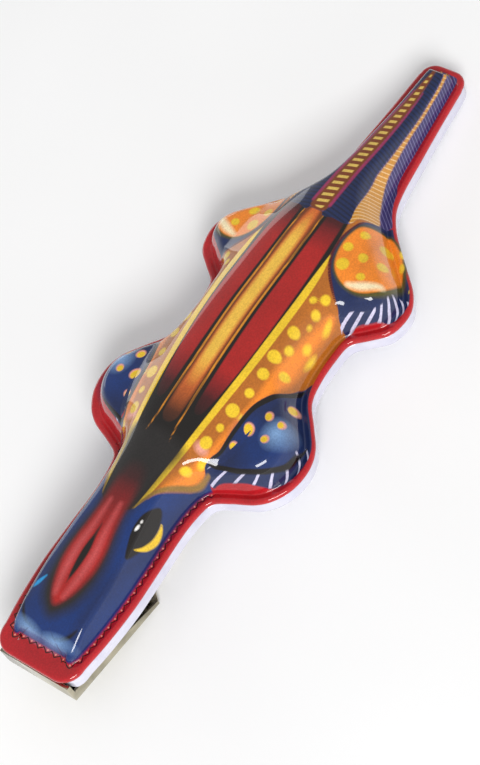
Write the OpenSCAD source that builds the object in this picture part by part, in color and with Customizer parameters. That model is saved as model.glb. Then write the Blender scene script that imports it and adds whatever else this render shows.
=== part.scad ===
// Alligator-shaped spring clip: an embossed tin shell rolled around a shallow
// tin tray, with a sprung steel jaw hinged under the head.
// The body is drawn level, x from the snout to the tail, z = 0 in the plane of
// the rim, and then leaned back onto its lever and its tail by placed().

/* [Body] */
// Length over the rim, snout to tail
body_len = 110; // [108:1:114]
// Width of the flat rim between bead and dome
flange_w = 1.4; // [1.2:0.1:1.8]
// Extra rim in front of the nose
nose_flange = 1.9; // [1:0.1:2.2]
// Radius of the rolled bead
bead_r = 0.55; // [0.45:0.05:0.6]
// Sheet thickness of the shell
shell_t = 0.35; // [0.3:0.05:0.45]
// Scale of the dome's height
dome_scale = 1; // [0.8:0.05:1.2]

/* [Tray] */
// Depth of the tray's underside below the rim
tray_drop = 3.2; // [3:0.1:3.3]
// Sheet thickness of the tray
tray_t = 0.4; // [0.3:0.05:0.45]
// How far the tray's wall stands in from the edge of the bead
tray_inset = 0.25; // [0.2:0.05:0.4]

/* [Clip] */
// Sheet thickness of the steel
steel_t = 0.5; // [0.4:0.05:0.55]
// Overall width of the jaw
jaw_w = 12.7; // [12.5:0.1:13]
// Length of the wide part of the jaw
jaw_len = 18.5; // [17:0.5:19]
// Depth of the jaw's front edge below the rim
lip_low = 5; // [4.8:0.1:5.2]
// Height of the jaw's front edge below the rim
lip_high = 1.2; // [1:0.1:1.5]
// Depth of the jaw's heel below the rim
heel_drop = 9; // [8.8:0.1:9.4]
// Width of the lever
lever_w = 7.6; // [7.4:0.1:8]
// Distance of the lever's end from the snout
lever_end = 39; // [36:0.5:40]

/* [Hinge] */
// Distance of the hinge axis from the snout
pivot_x = 22; // [21.5:0.1:22.5]
// Depth of the hinge axis below the rim
pivot_drop = 6; // [5.9:0.05:6.1]
// Radius of the hinge pin
pin_r = 0.75; // [0.7:0.05:0.8]
// Radial play of the pin in the jaw
pin_play = 0.05; // [0.03:0.01:0.08]

/* [Hidden] */
$fn = 48;

// Half-width of the rim at stations along the body
rim_knots = [[3.5, 7.4], [8, 8], [14, 8.4], [20, 8.3], [27, 8.1], [31, 8.5], [32.8, 9.3], [34, 11.6],
             [35.4, 14.8], [37.2, 16.9], [40, 18.4], [43.5, 18.8], [46.5, 17.9], [49.5, 15.6],
             [52.5, 13.2], [56, 12.4], [60.5, 12.4], [63, 12.9], [64.8, 15], [66.8, 17.2], [69.5, 18.1],
             [72, 17.9], [74.5, 16.4], [77, 13.8], [79.5, 11.1], [82, 8.6], [85, 6.6], [88.5, 5.7],
             [94, 5.1], [100, 4.5], [105, 4.1], [109, 3.8]];
// Half-width of the trunk's dome, without the legs
trunk_knots = [[2, 5.4], [8, 6.6], [20, 6.9], [28, 6.8], [34, 8], [40, 10], [50, 11], [66, 11],
               [74, 9.8], [80, 7.4], [86, 4.9], [94, 3.7], [102, 3], [110, 2.5]];
// Height of the back above the rim
crest_knots = [[3, 0.6], [4.2, 2.9], [8, 4.1], [18, 5.4], [28, 6.7], [40, 7.9], [50, 8.6], [58, 8.8],
               [66, 8.4], [76, 7.8], [85, 6.6], [92, 5.1], [100, 3.6], [106, 3], [108.2, 2.2],
               [109, 0.8]];
// Leg domes: middle x, middle y, half-length, half-width, height
legs = [[43, 11.5, 8.6, 6, 5], [71, 10.5, 7.6, 6.4, 5.4]];

flange_z = 0.1;
bead_drop = 0.1;
nose_r = 3.2;
nose_half = 7.4;
tail_r = 2.4;
tail_hw = 3.8;
spine_x = [6, 106.5];
station_step = 1.6;
dome_steps = [0, 0.06, 0.14, 0.25, 0.38, 0.52, 0.68, 0.84];

lip_room = 0.55;
tray_tail = body_len - tray_inset;
tilt = atan((heel_drop - tray_drop) / (tray_tail - pivot_x));
heel_x = jaw_len + 2;
lever_rise = tan(tilt);

// Depth of the lever's underside, which lies on the table with the tail
function table_z(x) = -tray_drop - (tray_tail - x) * lever_rise;

plate_z = -tray_drop - steel_t;
plate_end = 34;
plate_front = 1.3;
plate_w = 10.8;
tooth_drop = 0.9;
tooth_count = 7;
plate_ear_y = 2.6;
jaw_ear_y = lever_w / 2 - steel_t;
ear_r = 1.7;
ear_neck = ear_r * 0.88;
plate_hole_r = pin_r + 0.01;
pin_head_r = 1.2;
pin_head_t = 0.35;
pin_half = jaw_ear_y + steel_t + 0.12;
rivet_x = [9, 31.3];
rivet_r = 1.1;
rivet_head_r = 1.9;
rivet_head_t = 0.5;
wire_r = 0.3;
coil_r = 1.5;
coil_w = 4.2;
leg_end = 29;
gap = 0.15;

// The jaw's front edge and the tail's bead are the two ends of the object
x_mid = (body_len * cos(tilt) - (bead_drop + lip_low) * sin(tilt)) / 2;
lift = -table_z(pivot_x) * cos(tilt) + pivot_x * sin(tilt);

// Smooth curve through a table of knots
function knot(t, x, i = 0) = i >= len(t) - 2 || x < t[i + 1][0] ? i : knot(t, x, i + 1);
function rise(t, i) = let (a = max(i - 1, 0), b = min(i + 1, len(t) - 1))
    (t[b][1] - t[a][1]) / (t[b][0] - t[a][0]);
function curve(t, x) = let (i = knot(t, x), h = t[i + 1][0] - t[i][0],
                            u = min(max((x - t[i][0]) / h, 0), 1), v = 1 - u)
    (1 + 2 * u) * v * v * t[i][1] + u * v * v * h * rise(t, i)
    + u * u * (3 - 2 * u) * t[i + 1][1] - u * u * v * h * rise(t, i + 1);

// Right side of the rim's outline, from the middle of the snout to the tail
station_n = floor((body_len - tail_r - nose_r - 1.2) / station_step);
nose_hw = nose_half - nose_r;
right_side = concat(
    [for (y = [1, 2, 3]) [0, -y]],
    [for (a = [0 : 15 : 90]) [nose_r * (1 - cos(a)), -nose_hw - nose_r * sin(a)]],
    [for (i = [0 : station_n]) let (x = nose_r + 0.8 + i * station_step) [x, -curve(rim_knots, x)]],
    [for (a = [90 : -18 : 0]) [body_len - tail_r * (1 - cos(a)),
                                   -(tail_hw - tail_r) - tail_r * sin(a)]],
    [[body_len, -0.6]]);
side_n = len(right_side);
outline = concat(right_side, [for (i = [side_n - 1 : -1 : 0]) [right_side[i][0], -right_side[i][1]]]);
count = len(outline);

// Inward normal of the outline at point i, and the outline moved in by d
function inward(i) = let (a = outline[(i + count - 1) % count], b = outline[(i + 1) % count], v = b - a)
    [-v[1], v[0]] / norm(v);
function inset_point(i, d) = outline[i] + inward(i) * d;
// The tray's wall stands further back at the snout, behind the jaw's lip
function tray_outline(d) = [for (i = [0 : count - 1])
    inset_point(i, d + tray_inset + lip_room * max(1 - outline[i][0] / 1.2, 0))];

// Height of the dome's outer face over a point of the plan
function trunk_z(x, y) = let (u = min(abs(y) / curve(trunk_knots, x), 1))
    curve(crest_knots, min(max(x, 3), 109)) * pow(1 - pow(u, 2.6), 0.6);
function leg_z(x, y, l) = let (u = pow((x - l[0]) / l[2], 2) + pow((abs(y) - l[1]) / l[3], 2))
    l[4] * pow(max(1 - u, 0), 0.5);
function dome_z(x, y) = dome_scale * max(trunk_z(x, y), leg_z(x, y, legs[0]), leg_z(x, y, legs[1]));

under_z = flange_z - shell_t;
wall_top = -bead_drop - bead_r - 0.01;
bead_angles = [-140, -90, -40, 0, 40, 90, 140];
function foot_inset(i) = flange_w + nose_flange * max(1 - outline[i][0] / 4, 0);
function foot(i) = inset_point(i, foot_inset(i));
function spine_target(p) = [min(max(p[0], spine_x[0]), spine_x[1]), 0];
function dome_plan(i, s) = let (f = foot(i)) f + (spine_target(f) - f) * s;

function bead_ring(a) = [for (i = [0 : count - 1])
    let (p = inset_point(i, bead_r * (1 - cos(a)))) [p[0], p[1], bead_r * sin(a) - bead_drop]];
function flat_ring(d, z) = [for (i = [0 : count - 1]) let (p = inset_point(i, d)) [p[0], p[1], z]];
function dome_ring(s) = [for (i = [0 : count - 1])
    let (p = dome_plan(i, s)) [p[0], p[1], flange_z + (s == 0 ? 0 : dome_z(p[0], p[1]))]];
function under_ring(s) = [for (i = [0 : count - 1]) let (p = dome_plan(i, s + 0.02))
    [p[0], p[1], max(flange_z + dome_z(p[0], p[1]) - shell_t - 0.6 * pow(1 - s, 4), under_z + 0.05)]];

// The rings run out around the bead, over the dome to the spine, and back underneath
rings = concat([for (a = bead_angles) bead_ring(a)],
               [flat_ring(bead_r * 2.1, flange_z)],
               [for (s = dome_steps) dome_ring(s)],
               [for (k = [len(dome_steps) - 1 : -1 : 1]) under_ring(dome_steps[k])],
               [[for (i = [0 : count - 1]) let (p = inset_point(i, foot_inset(i) + 0.3))
                    [p[0], p[1], under_z]],
                flat_ring(bead_r * 2, under_z)]);
ring_n = len(rings);
top_ring = len(bead_angles) + len(dome_steps);
spine_i = [for (i = [0 : side_n - 1])
    if (right_side[i][0] > spine_x[0] && right_side[i][0] < spine_x[1]) i];
spine_n = len(spine_i);
function spine_vertex(z) = [for (i = spine_i) [foot(i)[0], 0, flange_z + dome_z(foot(i)[0], 0) - z]];
// Index of the spine point that outline point i of the right side closes to
function spine_slot(i) = min(max(i - spine_i[0], 0), spine_n - 1);
function closing(ring, base, up) = [for (i = [0 : side_n - 1], side = [0, 1])
    let (last = i == side_n - 1,
         a = side == 0 ? i : count - 1 - i,
         b = side == 0 ? i + 1 : count - 2 - i,
         sa = base + spine_slot(i), sb = base + spine_slot(i + 1),
         flip = (side == 0) == up)
    if (!last) each concat(
        [flip ? [ring * count + a, ring * count + b, sa] : [ring * count + b, ring * count + a, sa]],
        sa == sb ? [] : [flip ? [ring * count + b, sb, sa] : [sb, ring * count + b, sa]])];
function end_caps(ring, base, up) = let (r = ring * count,
    nose = [r + count - 1, r, base], tail = [r + side_n - 1, r + side_n, base + spine_n - 1])
    [for (f = [nose, tail]) up ? f : [f[1], f[0], f[2]]];
function band(k) = let (a = k * count, b = (k + 1) % ring_n * count)
    [for (i = [0 : count - 1]) let (j = (i + 1) % count) each [[a + i, a + j, b + j], [a + i, b + j, b + i]]];

module shell_solid() {
    points = concat([for (r = rings) each r], spine_vertex(0), spine_vertex(shell_t));
    base = ring_n * count;
    faces = concat(
        [for (k = [0 : ring_n - 1]) if (k != top_ring) each band(k)],
        closing(top_ring, base, true), end_caps(top_ring, base, true),
        closing(top_ring + 1, base + spine_n, false), end_caps(top_ring + 1, base + spine_n, false));
    polyhedron(points, [for (f = faces) [f[2], f[1], f[0]]], convexity = 6);
}

// Sets the level body down on its lever and its tail
module placed() {
    translate([-x_mid, 0, lift]) rotate([0, tilt, 0]) children();
}

// Extrudes an outline of x and z across the body, centred
module across(w, y = 0) {
    translate([0, y + w / 2, 0]) rotate([90, 0, 0]) linear_extrude(w) children();
}

module pin_hole(r) {
    translate([pivot_x, 0, -pivot_drop]) rotate([90, 0, 0]) cylinder(r = r, h = lever_w * 2, center = true);
}

module printed_shell() {
    color("firebrick") placed() shell_solid();
}

module base_tray() {
    color("whitesmoke") placed() difference() {
        translate([0, 0, -tray_drop]) linear_extrude(tray_drop + wall_top) polygon(tray_outline(0));
        translate([0, 0, tray_t - tray_drop]) linear_extrude(tray_drop) polygon(tray_outline(tray_t));
        for (x = rivet_x) translate([x, 0, -tray_drop - 1]) cylinder(r = rivet_r, h = 3);
    }
}

module plate_ear(y) {
    across(steel_t, y) difference() {
        union() {
            translate([pivot_x, -pivot_drop]) circle(r = ear_r);
            translate([pivot_x - ear_neck, -pivot_drop])
                square([ear_neck * 2, pivot_drop - tray_drop - steel_t / 2]);
        }
        translate([pivot_x, -pivot_drop]) circle(r = plate_hole_r);
    }
}

module clip_plate() {
    color("silver") placed() {
        difference() {
            union() {
                translate([plate_front, -plate_w / 2, plate_z])
                    cube([jaw_len - plate_front, plate_w, steel_t]);
                translate([plate_front, -lever_w / 2, plate_z])
                    cube([plate_end - plate_front, lever_w, steel_t]);
                translate([plate_front, -plate_w / 2, plate_z - tooth_drop])
                    cube([steel_t, plate_w, tooth_drop + steel_t / 2]);
                for (s = [-1, 1]) plate_ear(s * (plate_ear_y + steel_t / 2));
            }
            for (x = rivet_x) translate([x, 0, plate_z - 1]) cylinder(r = rivet_r, h = 3);
            // Notches between the teeth of the fixed jaw
            for (i = [1 : tooth_count - 1])
                translate([plate_front - 1, plate_w * (i / tooth_count - 0.5), plate_z - tooth_drop])
                    rotate([45, 0, 0]) translate([0, -0.3, -0.3]) cube([steel_t + 2, 0.6, 0.6]);
        }
    }
}

// Underside of the jaw: a sloping jaw and a level lever
function floor_z(x) = x < heel_x ? -lip_low + (table_z(heel_x) + lip_low) * x / heel_x : table_z(x);

// Side view of the jaw, with the lip at its front, the ears and the lever
module jaw_profile() {
    front_top = -tray_drop - gap;
    lip_back = tray_inset + lip_room - gap;
    wall_end = lever_end - 6;
    polygon([[0, floor_z(0)], [heel_x, floor_z(heel_x)], [lever_end, floor_z(lever_end)],
             [lever_end, floor_z(lever_end) + steel_t], [wall_end, floor_z(wall_end) + steel_t],
             [pivot_x + 2.6, floor_z(pivot_x) + 1.9], [pivot_x + ear_neck, -pivot_drop],
             [pivot_x - ear_neck, -pivot_drop], [heel_x - 0.2, floor_z(heel_x) + steel_t + 0.4],
             [jaw_len, floor_z(jaw_len) + steel_t + 0.3], [4.5, front_top], [lip_back, front_top],
             [lip_back, -lip_high], [0, -lip_high]]);
    translate([pivot_x, -pivot_drop]) circle(r = ear_r);
}

module jaw_plan() {
    hw = jaw_w / 2;
    lw = lever_w / 2;
    polygon([[-1, -hw], [jaw_len, -hw], [heel_x, -lw], [lever_end - lw, -lw], [lever_end - lw, lw],
             [heel_x, lw], [jaw_len, hw], [-1, hw]]);
    translate([lever_end - lw - 0.1, 0]) circle(r = lw);
}

// Space between the jaw's side walls, from x0 to x1, above a floor of thickness t
module channel(w, x0, x1, t) {
    across(w - 2 * steel_t) polygon(concat([[x1, 1], [x0, 1], [x0, floor_z(x0) + t]],
        x0 < heel_x && x1 > heel_x ? [[heel_x, floor_z(heel_x) + t]] : [], [[x1, floor_z(x1) + t]]));
}

module lower_jaw() {
    color("gainsboro") placed() difference() {
        intersection() {
            across(jaw_w + 2) jaw_profile();
            translate([0, 0, -20]) linear_extrude(20) jaw_plan();
        }
        channel(jaw_w, steel_t, jaw_len - 1, steel_t);
        channel(lever_w, jaw_len - 1, lever_end + 1, steel_t + 0.05);
        pin_hole(pin_r + pin_play);
    }
}

module hinge_pin() {
    color("dimgray") placed() translate([pivot_x, 0, -pivot_drop]) rotate([90, 0, 0]) {
        cylinder(r = pin_r, h = pin_half * 2, center = true);
        for (s = [-1, 1]) translate([0, 0, s * (pin_half + pin_head_t / 2)])
            cylinder(r = pin_head_r, h = pin_head_t, center = true);
    }
}

module spring_leg(y, from_z, to_z) {
    run = leg_end - pivot_x;
    slope = atan((to_z - from_z) / run);
    translate([pivot_x, y, from_z]) rotate([0, 90 - slope, 0]) cylinder(r = wire_r, h = run, $fn = 16);
}

module spring() {
    color("slategray") placed() {
        translate([pivot_x, 0, -pivot_drop]) rotate([90, 0, 0]) difference() {
            cylinder(r = coil_r + wire_r, h = coil_w, center = true);
            cylinder(r = coil_r - wire_r, h = coil_w + 1, center = true);
        }
        spring_leg(1.8, -pivot_drop + coil_r, plate_z - wire_r - 0.05);
        spring_leg(-1.8, -pivot_drop - coil_r, table_z(leg_end) + steel_t + wire_r + 0.05);
    }
}

module rivet(x) {
    color("lightgray") placed() {
        translate([x, 0, plate_z]) cylinder(r = rivet_r, h = steel_t + tray_t);
        translate([x, 0, plate_z - rivet_head_t]) cylinder(r = rivet_head_r, h = rivet_head_t);
        translate([x, 0, tray_t - tray_drop]) cylinder(r = rivet_head_r, h = rivet_head_t);
    }
}

module front_rivet() {
    rivet(rivet_x[0]);
}

module rear_rivet() {
    rivet(rivet_x[1]);
}

printed_shell();
base_tray();
clip_plate();
lower_jaw();
hinge_pin();
spring();
front_rivet();
rear_rivet();
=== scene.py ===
"""Looks of an alligator-shaped spring clip: a lithographed tin shell rolled around a white
lacquered tray, with a sprung steel jaw under the head.

The shell is drawn level in millimetres, x from the snout to the tail, y to the animal's
right and z up from the plane of its rim, and LEVEL then leans it back onto its lever and tail.
"""
import math

import bmesh
import bpy
import numpy as np
from mathutils import Matrix, Vector


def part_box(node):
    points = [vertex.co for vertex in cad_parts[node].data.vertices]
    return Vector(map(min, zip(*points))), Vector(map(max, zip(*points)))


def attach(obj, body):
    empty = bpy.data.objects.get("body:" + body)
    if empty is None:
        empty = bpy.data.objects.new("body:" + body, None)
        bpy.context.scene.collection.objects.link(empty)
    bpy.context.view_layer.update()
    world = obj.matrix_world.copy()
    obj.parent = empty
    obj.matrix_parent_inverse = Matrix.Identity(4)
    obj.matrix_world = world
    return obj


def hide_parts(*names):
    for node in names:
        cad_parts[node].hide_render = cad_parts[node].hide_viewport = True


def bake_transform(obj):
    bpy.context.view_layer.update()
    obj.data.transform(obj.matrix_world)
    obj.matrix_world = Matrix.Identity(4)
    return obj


MM = 0.001

# ---------------------------------------------------------------- sizes, in millimetres
BODY_LEN = 110.0
BEAD_R = 0.55
BEAD_DROP = 0.1
FLANGE_W = 1.4
NOSE_FLANGE = 1.9
FLANGE_Z = 0.22
FLANGE_RISE = 0.13
SHEET_T = 0.3
NOSE_R = 3.2
NOSE_HALF = 7.4
TAIL_R = 2.4
TAIL_HALF = 3.8
SPINE = (6.0, 106.5)
TRAY_DROP = 3.2
TRAY_INSET = 0.25
LIP_ROOM = 0.55
PIVOT_X = 22.0
PIVOT_DROP = 6.0
HEEL_DROP = 9.0
LIP_LOW = 5.0

# Half-width of the rim, x and half-width
RIM = [(3.5, 7.4), (8, 8), (14, 8.4), (20, 8.3), (27, 8.1), (31, 8.5), (32.8, 9.3), (34, 11.6),
       (35.4, 14.8), (37.2, 16.9), (40, 18.4), (43.5, 18.8), (46.5, 17.9), (49.5, 15.6),
       (52.5, 13.2), (56, 12.4), (60.5, 12.4), (63, 12.9), (64.8, 15), (66.8, 17.2), (69.5, 18.1),
       (72, 17.9), (74.5, 16.4), (77, 13.8), (79.5, 11.1), (82, 8.6), (85, 6.6), (88.5, 5.7),
       (94, 5.1), (100, 4.5), (105, 4.1), (109, 3.8)]
# Height of the back above the rim
CREST = [(3, 1.5), (5, 2.6), (8, 3.9), (18, 5.4), (28, 6.7), (40, 7.9), (50, 8.6), (58, 8.8), (66, 8.4),
         (76, 7.8), (85, 6.6), (92, 5.1), (100, 3.6), (106, 3), (110, 2.6)]
# Half-width of the trunk's dome, without the legs
TRUNK = [(0, 6.6), (8, 7), (20, 7.3), (28, 7.2), (34, 8), (40, 10), (46, 11), (56, 11.2),
         (64, 11.2), (72, 10.4), (78, 8.6), (84, 6.1), (90, 4.6), (98, 3.5), (106, 2.9), (110, 2.7)]
# The trunk's section is a rounded arch, and the head's a low crown with square shoulders
ARCH_POWER = 2.3
ARCH_SHARE = 0.96
HEAD_CROWN = 0.4
NECK = (27.0, 39.0)
# Pads over the legs: middle x, middle y, half-length, half-width, height and how domed
LEGS = [(43.2, 11.8, 9.5, 7.5, 5, 0.42), (71, 10.8, 8.4, 7.2, 5.6, 0.5)]
LEG_BLEND = 2.8
WALL_SLOPE = 2.6
# Rounding between wall and top at stations along the body
WALL_ROUND = [(0, 1.1), (26, 1.1), (36, 2.2), (80, 2.4), (90, 1.4), (110, 1)]

TILT = math.atan((HEEL_DROP - TRAY_DROP) / (BODY_LEN - TRAY_INSET - PIVOT_X))
X_MID = (BODY_LEN * math.cos(TILT) - (BEAD_DROP + LIP_LOW) * math.sin(TILT)) / 2
TABLE_AT_PIVOT = -TRAY_DROP - (BODY_LEN - TRAY_INSET - PIVOT_X) * math.tan(TILT)
LIFT = -TABLE_AT_PIVOT * math.cos(TILT) + PIVOT_X * math.sin(TILT)
LEVEL = Matrix.Translation((-X_MID * MM, 0, LIFT * MM)) @ Matrix.Rotation(TILT, 4, "Y")


# ---------------------------------------------------------------- curves and distances
def curve(knots, x):
    """Smooth curve through a table of knots."""
    at, value = np.array(knots, float).T
    slope = np.gradient(value, at)
    slope[1:-1] = (value[2:] - value[:-2]) / (at[2:] - at[:-2])
    i = np.clip(np.searchsorted(at, x, side="right") - 1, 0, len(at) - 2)
    h = at[i + 1] - at[i]
    u = np.clip((x - at[i]) / h, 0, 1)
    v = 1 - u
    return ((1 + 2 * u) * v * v * value[i] + u * v * v * h * slope[i]
            + u * u * (3 - 2 * u) * value[i + 1] - u * u * v * h * slope[i + 1])


def smooth_min(a, b, k):
    """The lower of a and b, rounded over k where they cross."""
    h = np.clip(0.5 + 0.5 * (b - a) / k, 0, 1)
    return b * (1 - h) + a * h - k * h * (1 - h)


def smooth_max(a, b, k):
    """The higher of a and b, rounded over k where they cross."""
    return -smooth_min(-a, -b, k)


def spline(points, closed=True, steps=6):
    """Rounded line through given points."""
    p = np.array(points, float)
    n = len(p)
    spans = range(n) if closed else range(n - 1)
    out = []
    for i in spans:
        if closed:
            a, b, c, d = (p[(i + k) % n] for k in (-1, 0, 1, 2))
        else:
            a, b, c, d = (p[min(max(i + k, 0), n - 1)] for k in (-1, 0, 1, 2))
        for s in range(steps):
            t = s / steps
            out.append(0.5 * (2 * b + (c - a) * t + (2 * a - 5 * b + 4 * c - d) * t * t
                              + (3 * b - a - 3 * c + d) * t ** 3))
    if not closed:
        out.append(p[-1])
    return np.array(out)


def segment_distance(q, a, b):
    """Distance of points q from the segment a to b, and how far along it they are."""
    d = b - a
    t = np.clip(((q - a) @ d) / max(d @ d, 1e-12), 0, 1)
    return np.hypot(*(q - a - t[:, None] * d).T), t


def area(q, points, steps=6):
    """Signed distance of points q from a rounded closed outline, negative inside."""
    line = spline(points, steps=steps) if steps else np.array(points, float)
    away = np.full(len(q), 1e9)
    inside = np.zeros(len(q), bool)
    for a, b in zip(line, np.roll(line, -1, 0)):
        away = np.minimum(away, segment_distance(q, a, b)[0])
        crosses = (a[1] > q[:, 1]) != (b[1] > q[:, 1])
        if a[1] != b[1]:
            inside ^= crosses & (q[:, 0] < (b[0] - a[0]) * (q[:, 1] - a[1]) / (b[1] - a[1]) + a[0])
    return np.where(inside, -away, away)


def stroke(q, points, steps=6):
    """Signed distance from a brush stroke through points of x, y and half-width."""
    line = spline(points, closed=False, steps=steps)
    away = np.full(len(q), 1e9)
    for a, b in zip(line[:-1], line[1:]):
        d, t = segment_distance(q, a[:2], b[:2])
        away = np.minimum(away, d - (a[2] + (b[2] - a[2]) * t))
    return away


def dots(q, spots):
    """Signed distance from oval dots: x, y, half-length, half-width and turn in degrees."""
    away = np.full(len(q), 1e9)
    for x, y, length, width, turn in spots:
        c, s = math.cos(math.radians(turn)), math.sin(math.radians(turn))
        u = (q[:, 0] - x) * c + (q[:, 1] - y) * s
        v = (q[:, 1] - y) * c - (q[:, 0] - x) * s
        away = np.minimum(away, (np.hypot(u / length, v / width) - 1) * min(length, width))
    return away


# ---------------------------------------------------------------- the body's outline
# Steps round the corners of nose and tail, and samples along the flank's curve
NOSE_STEPS, TAIL_STEPS = 18, 14
FLANK_SAMPLES = 2600
EVENING_ROUNDS = 3
NOSE_FADE = 4
POINTS_AT_ONCE = 2000


def rim_outline(step):
    """Closed outline of the rim: down the animal's left side to the tail and back."""
    hw = NOSE_HALF - NOSE_R
    nose = [(NOSE_R * (1 - math.cos(a)), -hw - NOSE_R * math.sin(a))
            for a in np.linspace(0, math.pi / 2, NOSE_STEPS)]
    tail = [(BODY_LEN - TAIL_R * (1 - math.cos(a)), TAIL_R - TAIL_HALF - TAIL_R * math.sin(a))
            for a in np.linspace(math.pi / 2, 0, TAIL_STEPS)]
    x = np.linspace(NOSE_R + step, BODY_LEN - TAIL_R - step, FLANK_SAMPLES)
    y = -curve(RIM, x)
    run = np.r_[0, np.cumsum(np.hypot(np.diff(x), np.diff(y)))]
    at = np.linspace(0, run[-1], int(run[-1] / step))
    flank = np.c_[np.interp(at, run, x), np.interp(at, run, y)]
    front = [(0, -y) for y in np.arange(step / 2, hw, step)]
    back = [(BODY_LEN, -y) for y in np.arange(TAIL_HALF - TAIL_R - step / 2, 0.1, -step)]
    side = np.vstack([front, nose, flank, tail, back])
    return np.vstack([side, (side * [1, -1])[::-1]])


def inward(outline):
    """Unit normals that point into a closed outline, evened out between neighbours."""
    v = np.roll(outline, -1, 0) - np.roll(outline, 1, 0)
    n = np.c_[-v[:, 1], v[:, 0]]
    for _ in range(EVENING_ROUNDS):
        n /= np.hypot(*n.T)[:, None]
        n = np.roll(n, 1, 0) + 2 * n + np.roll(n, -1, 0)
    return n / np.hypot(*n.T)[:, None]


def foot_inset(outline):
    """Width of the rim in front of the dome's foot, wider across the nose."""
    return FLANGE_W + NOSE_FLANGE * np.clip(1 - outline[:, 0] / NOSE_FADE, 0, None)


def nearest(q, line):
    """Distance of points q from a dense closed line, and where along it they are nearest;
    the second half of the line counts backwards, so that both sides run the same way."""
    step = np.roll(line, -1, 0) - line
    run = np.r_[0, np.cumsum(np.hypot(*step.T))]
    away, along = [], []
    for part in np.array_split(q, max(len(q) // POINTS_AT_ONCE, 1)):
        i = ((part[:, None] - line[None]) ** 2).sum(2).argmin(1)
        best, place = np.full(len(part), 1e9), np.zeros(len(part))
        for k in (i - 1, i):
            a, d = line[k], step[k]
            t = np.clip(((part - a) * d).sum(1) / (d * d).sum(1), 0, 1)
            off = np.hypot(*(part - a - t[:, None] * d).T)
            place = np.where(off < best, run[k % len(line)] + t * np.hypot(*d.T), place)
            best = np.minimum(best, off)
        away.append(best)
        along.append(np.minimum(place, run[-1] - place))
    return np.concatenate(away), np.concatenate(along)


def back_height(x, y):
    """Height of the embossing over the rim's plane, before its wall is cut in."""
    u = ARCH_SHARE * np.clip(np.abs(y) / curve(TRUNK, x), 0, 1)
    arch = (1 - u ** ARCH_POWER) ** (1 / ARCH_POWER)
    crown = 1 - HEAD_CROWN * u * u
    t = np.clip((x - NECK[0]) / (NECK[1] - NECK[0]), 0, 1)
    t = t * t * (3 - 2 * t)
    z = (curve(CREST, x) - FLANGE_RISE) * (crown * (1 - t) + arch * t)
    for cx, cy, length, width, height, dome in LEGS:
        q = ((x - cx) / length) ** 2 + ((np.abs(y) - cy) / width) ** 2
        z = smooth_max(z, height * (1 - dome * q), LEG_BLEND)
    return z


# ---------------------------------------------------------------- mesh helpers
def piece_from(name, points, faces, weld=0.0, outward=False):
    """A named object at the origin from points in the level frame, in millimetres."""
    mesh = bpy.data.meshes.new(name)
    mesh.from_pydata([LEVEL @ (Vector(p) * MM) for p in points], [], faces)
    b = bmesh.new()
    b.from_mesh(mesh)
    if weld:
        bmesh.ops.remove_doubles(b, verts=b.verts, dist=weld * MM)
        bmesh.ops.dissolve_degenerate(b, edges=b.edges, dist=weld * MM * 0.2)
    if outward:
        bmesh.ops.recalc_face_normals(b, faces=b.faces)
    b.to_mesh(mesh)
    b.free()
    mesh.shade_smooth()
    piece = bpy.data.objects.new(name, mesh)
    bpy.context.scene.collection.objects.link(piece)
    return piece


def ring_faces(rings, n, gap):
    """Quads between closed rings of n points, except after ring gap, where the skin closes
    on the spine above and below."""
    k, i = np.meshgrid([k for k in range(rings) if k != gap], np.arange(n), indexing="ij")
    a, b = k * n, (k + 1) % rings * n
    j = (i + 1) % n
    return np.stack([a + j, a + i, b + i, b + j], -1).reshape(-1, 4).tolist()


def level_points(piece):
    """The piece's vertices back in the level frame, in millimetres."""
    co = np.empty(len(piece.data.vertices) * 3)
    piece.data.vertices.foreach_get("co", co)
    turn = np.array(LEVEL.inverted())
    return (co.reshape(-1, 3) @ turn[:3, :3].T + turn[:3, 3]) / MM


# ---------------------------------------------------------------- the shell
OUTLINE_STEP = 0.33
BEAD_ARC = np.radians(np.linspace(-150, 90, 13))
DOME_RINGS = 58
UNDER_STEPS = (0.9, 0.7, 0.5, 0.32, 0.18, 0.08, 0.03)
# How the rings crowd towards the wall, and the share over which the wall starts
RING_CROWDING = 1.2
WALL_START = 0.04
# The bead falls to the rim in these steps
FALL_STEPS = (0.2, 0.4, 0.6, 0.8, 0.95)
# Extra room under the sheet where it bends, and where its underside meets rim and bead
BEND_ROOM = 0.35
UNDER_RIM = 0.2
UNDER_BEAD = 2.1 * BEAD_R
WELD = 0.004


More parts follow.
